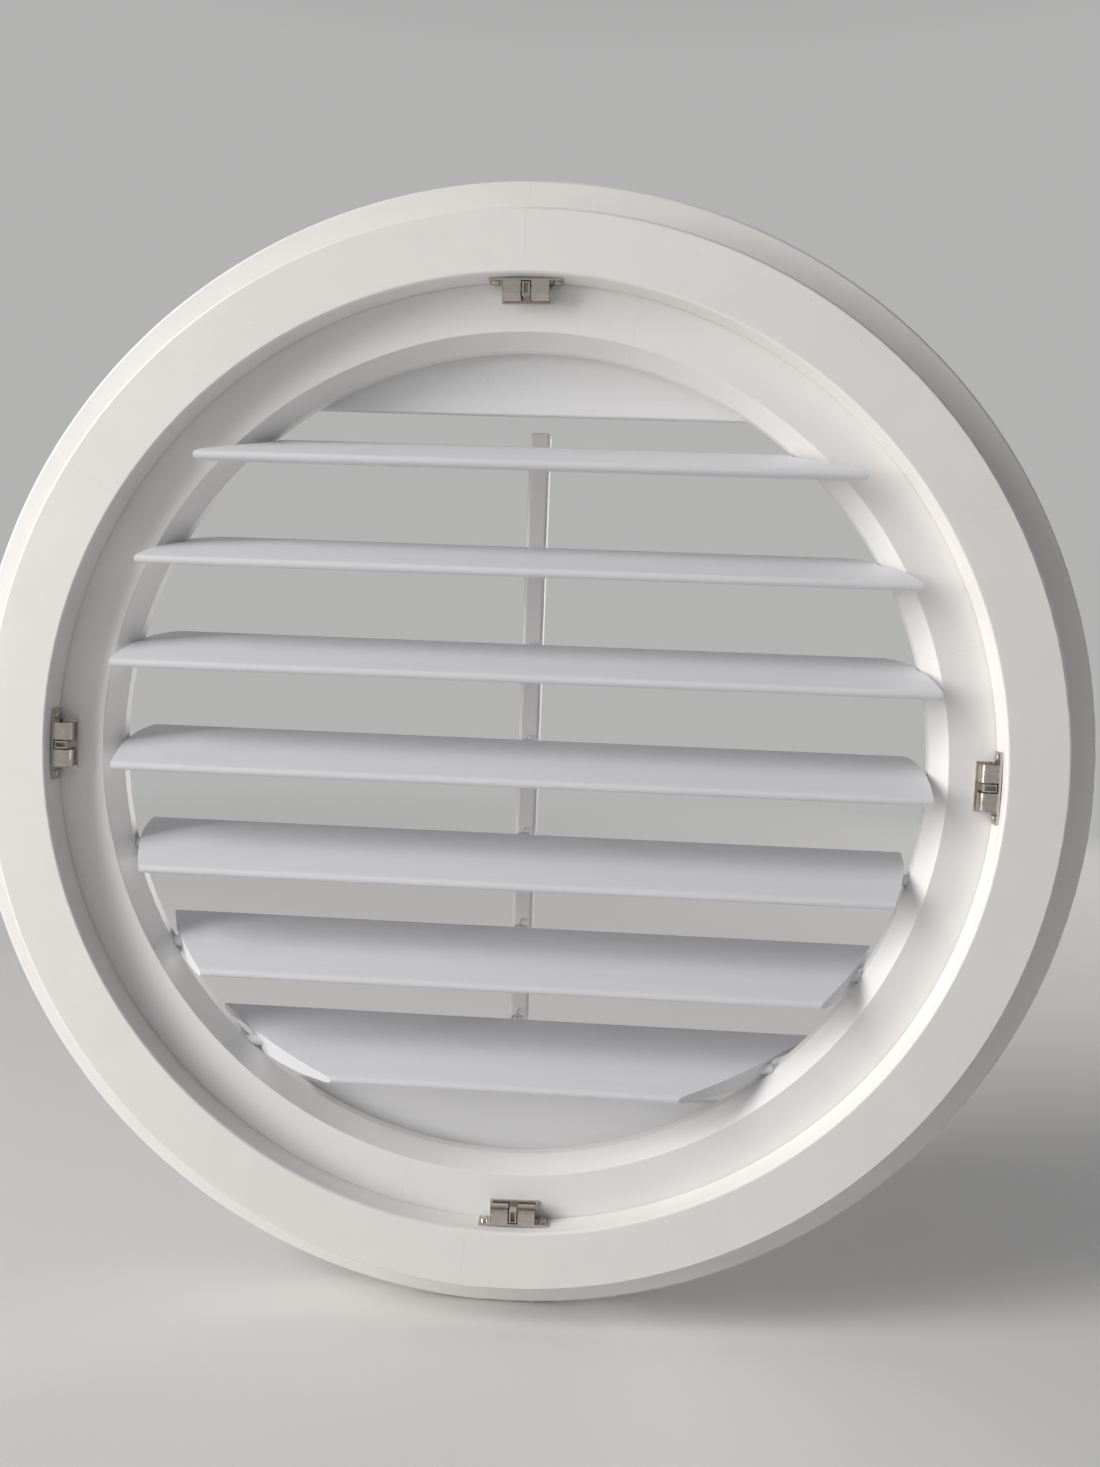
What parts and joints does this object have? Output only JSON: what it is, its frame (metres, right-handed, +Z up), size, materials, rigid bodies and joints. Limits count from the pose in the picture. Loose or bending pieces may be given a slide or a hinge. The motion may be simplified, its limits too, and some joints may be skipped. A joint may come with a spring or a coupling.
{
  "type": "louvred shutter",
  "caption": "Round louvred window shutter in its round flanged frame, with linked tilting louvres, a tilt rod and a panel that pulls out of ball catches.",
  "frame": {"origin": "on the ring's axis, in the plane of the flange's back face, which lies on the wall", "axes": "+Y along the ring's axis toward the room, +Z up, +X to the right as seen from the window side"},
  "size_m": [0.609, 0.0878, 0.609],
  "materials": {
    "frame_paint": "satin white paint on wood",
    "panel_paint": "satin white paint on wood",
    "louvre_paint": "satin white paint on wood",
    "nickel": "bright nickel plate",
    "steel_ball": "polished hardened steel",
    "spring_steel": "bright spring wire",
    "screw_steel": "zinc plated",
    "staple_wire": "galvanised wire",
    "nylon": "natural white nylon"
  },
  "bodies": {
    "frame": {"frame_spigot": "frame_paint", "frame_flange": "frame_paint", "catch_housing_top": "nickel", "catch_housing_left": "nickel", "catch_housing_bottom": "nickel", "catch_housing_right": "nickel", "catch_screws": "screw_steel", "catch_adjusters": "screw_steel", "catch_spring_top_a": "spring_steel", "catch_spring_top_b": "spring_steel", "catch_spring_left_a": "spring_steel", "catch_spring_left_b": "spring_steel", "catch_spring_bottom_a": "spring_steel", "catch_spring_bottom_b": "spring_steel", "catch_spring_right_a": "spring_steel", "catch_spring_right_b": "spring_steel"},
    "panel": {"panel_ring": "panel_paint", "top_rail": "panel_paint", "bottom_rail": "panel_paint", "striker_top": "nickel", "striker_left": "nickel", "striker_bottom": "nickel", "striker_right": "nickel", "striker_screws": "screw_steel"},
    "louvre_1": {"louvre_1": "louvre_paint", "louvre_pins_1": "nylon", "louvre_staple_1": "staple_wire"},
    "louvre_2": {"louvre_2": "louvre_paint", "louvre_pins_2": "nylon", "louvre_staple_2": "staple_wire"},
    "louvre_3": {"louvre_3": "louvre_paint", "louvre_pins_3": "nylon", "louvre_staple_3": "staple_wire"},
    "louvre_4": {"louvre_4": "louvre_paint", "louvre_pins_4": "nylon", "louvre_staple_4": "staple_wire"},
    "louvre_5": {"louvre_5": "louvre_paint", "louvre_pins_5": "nylon", "louvre_staple_5": "staple_wire"},
    "louvre_6": {"louvre_6": "louvre_paint", "louvre_pins_6": "nylon", "louvre_staple_6": "staple_wire"},
    "louvre_7": {"louvre_7": "louvre_paint", "louvre_pins_7": "nylon", "louvre_staple_7": "staple_wire"},
    "tilt_rod": {"tilt_rod": "louvre_paint", "rod_staples": "staple_wire"},
    "ball_top_a": {"catch_ball_top_a": "steel_ball"},
    "ball_top_b": {"catch_ball_top_b": "steel_ball"},
    "ball_left_a": {"catch_ball_left_a": "steel_ball"},
    "ball_left_b": {"catch_ball_left_b": "steel_ball"},
    "ball_bottom_a": {"catch_ball_bottom_a": "steel_ball"},
    "ball_bottom_b": {"catch_ball_bottom_b": "steel_ball"},
    "ball_right_a": {"catch_ball_right_a": "steel_ball"},
    "ball_right_b": {"catch_ball_right_b": "steel_ball"}
  },
  "joints": [
    {"name": "panel_slide", "type": "slide", "parent": "frame", "child": "panel", "axis": [0, 1, 0], "range_m": [0, 0.08]},
    {"name": "louvre_4_tilt", "type": "hinge", "parent": "panel", "child": "louvre_4", "pos_m": [0, 0.0008, 0], "axis": [1, 0, 0], "range_deg": [-15, 39]},
    {"name": "louvre_1_tilt", "type": "hinge", "parent": "panel", "child": "louvre_1", "pos_m": [0, 0.0008, 0.162], "axis": [1, 0, 0], "range_deg": [-15, 39]},
    {"name": "louvre_2_tilt", "type": "hinge", "parent": "panel", "child": "louvre_2", "pos_m": [0, 0.0008, 0.108], "axis": [1, 0, 0], "range_deg": [-15, 39]},
    {"name": "louvre_3_tilt", "type": "hinge", "parent": "panel", "child": "louvre_3", "pos_m": [0, 0.0008, 0.054], "axis": [1, 0, 0], "range_deg": [-15, 39]},
    {"name": "louvre_5_tilt", "type": "hinge", "parent": "panel", "child": "louvre_5", "pos_m": [0, 0.0008, -0.054], "axis": [1, 0, 0], "range_deg": [-15, 39]},
    {"name": "louvre_6_tilt", "type": "hinge", "parent": "panel", "child": "louvre_6", "pos_m": [0, 0.0008, -0.108], "axis": [1, 0, 0], "range_deg": [-15, 39]},
    {"name": "louvre_7_tilt", "type": "hinge", "parent": "panel", "child": "louvre_7", "pos_m": [0, 0.0008, -0.162], "axis": [1, 0, 0], "range_deg": [-15, 39]},
    {"name": "tilt_rod_pivot", "type": "hinge", "parent": "louvre_4", "child": "tilt_rod", "pos_m": [0.0015, 0.03606, 0.00945], "axis": [1, 0, 0], "range_deg": [-39, 15]},
    {"name": "ball_top_a_slide", "type": "slide", "parent": "frame", "child": "ball_top_a", "axis": [-0.9999, 0, -0.0157], "range_m": [0, 0.0012], "stiffness_N_per_m": 400, "springref_m": -0.005, "deforming": ["catch_spring_top_a"]},
    {"name": "ball_top_b_slide", "type": "slide", "parent": "frame", "child": "ball_top_b", "axis": [0.9999, 0, 0.0157], "range_m": [0, 0.0012], "stiffness_N_per_m": 400, "springref_m": -0.005, "deforming": ["catch_spring_top_b"]},
    {"name": "ball_left_a_slide", "type": "slide", "parent": "frame", "child": "ball_left_a", "axis": [-0.0052, 0, -1], "range_m": [0, 0.0012], "stiffness_N_per_m": 400, "springref_m": -0.005, "deforming": ["catch_spring_left_a"]},
    {"name": "ball_left_b_slide", "type": "slide", "parent": "frame", "child": "ball_left_b", "axis": [0.0052, 0, 1], "range_m": [0, 0.0012], "stiffness_N_per_m": 400, "springref_m": -0.005, "deforming": ["catch_spring_left_b"]},
    {"name": "ball_bottom_a_slide", "type": "slide", "parent": "frame", "child": "ball_bottom_a", "axis": [0.9996, 0, 0.0297], "range_m": [0, 0.0012], "stiffness_N_per_m": 400, "springref_m": -0.005, "deforming": ["catch_spring_bottom_a"]},
    {"name": "ball_bottom_b_slide", "type": "slide", "parent": "frame", "child": "ball_bottom_b", "axis": [-0.9996, 0, -0.0297], "range_m": [0, 0.0012], "stiffness_N_per_m": 400, "springref_m": -0.005, "deforming": ["catch_spring_bottom_b"]},
    {"name": "ball_right_a_slide", "type": "slide", "parent": "frame", "child": "ball_right_a", "axis": [0, 0, 1], "range_m": [0, 0.0012], "stiffness_N_per_m": 400, "springref_m": -0.005, "deforming": ["catch_spring_right_a"]},
    {"name": "ball_right_b_slide", "type": "slide", "parent": "frame", "child": "ball_right_b", "axis": [0, 0, -1], "range_m": [0, 0.0012], "stiffness_N_per_m": 400, "springref_m": -0.005, "deforming": ["catch_spring_right_b"]}
  ],
  "couplings": [
    {"joint": "louvre_1_tilt", "follows": "louvre_4_tilt", "ratio": 1},
    {"joint": "louvre_2_tilt", "follows": "louvre_4_tilt", "ratio": 1},
    {"joint": "louvre_3_tilt", "follows": "louvre_4_tilt", "ratio": 1},
    {"joint": "louvre_5_tilt", "follows": "louvre_4_tilt", "ratio": 1},
    {"joint": "louvre_6_tilt", "follows": "louvre_4_tilt", "ratio": 1},
    {"joint": "louvre_7_tilt", "follows": "louvre_4_tilt", "ratio": 1},
    {"joint": "tilt_rod_pivot", "follows": "louvre_4_tilt", "ratio": -1}
  ]
}
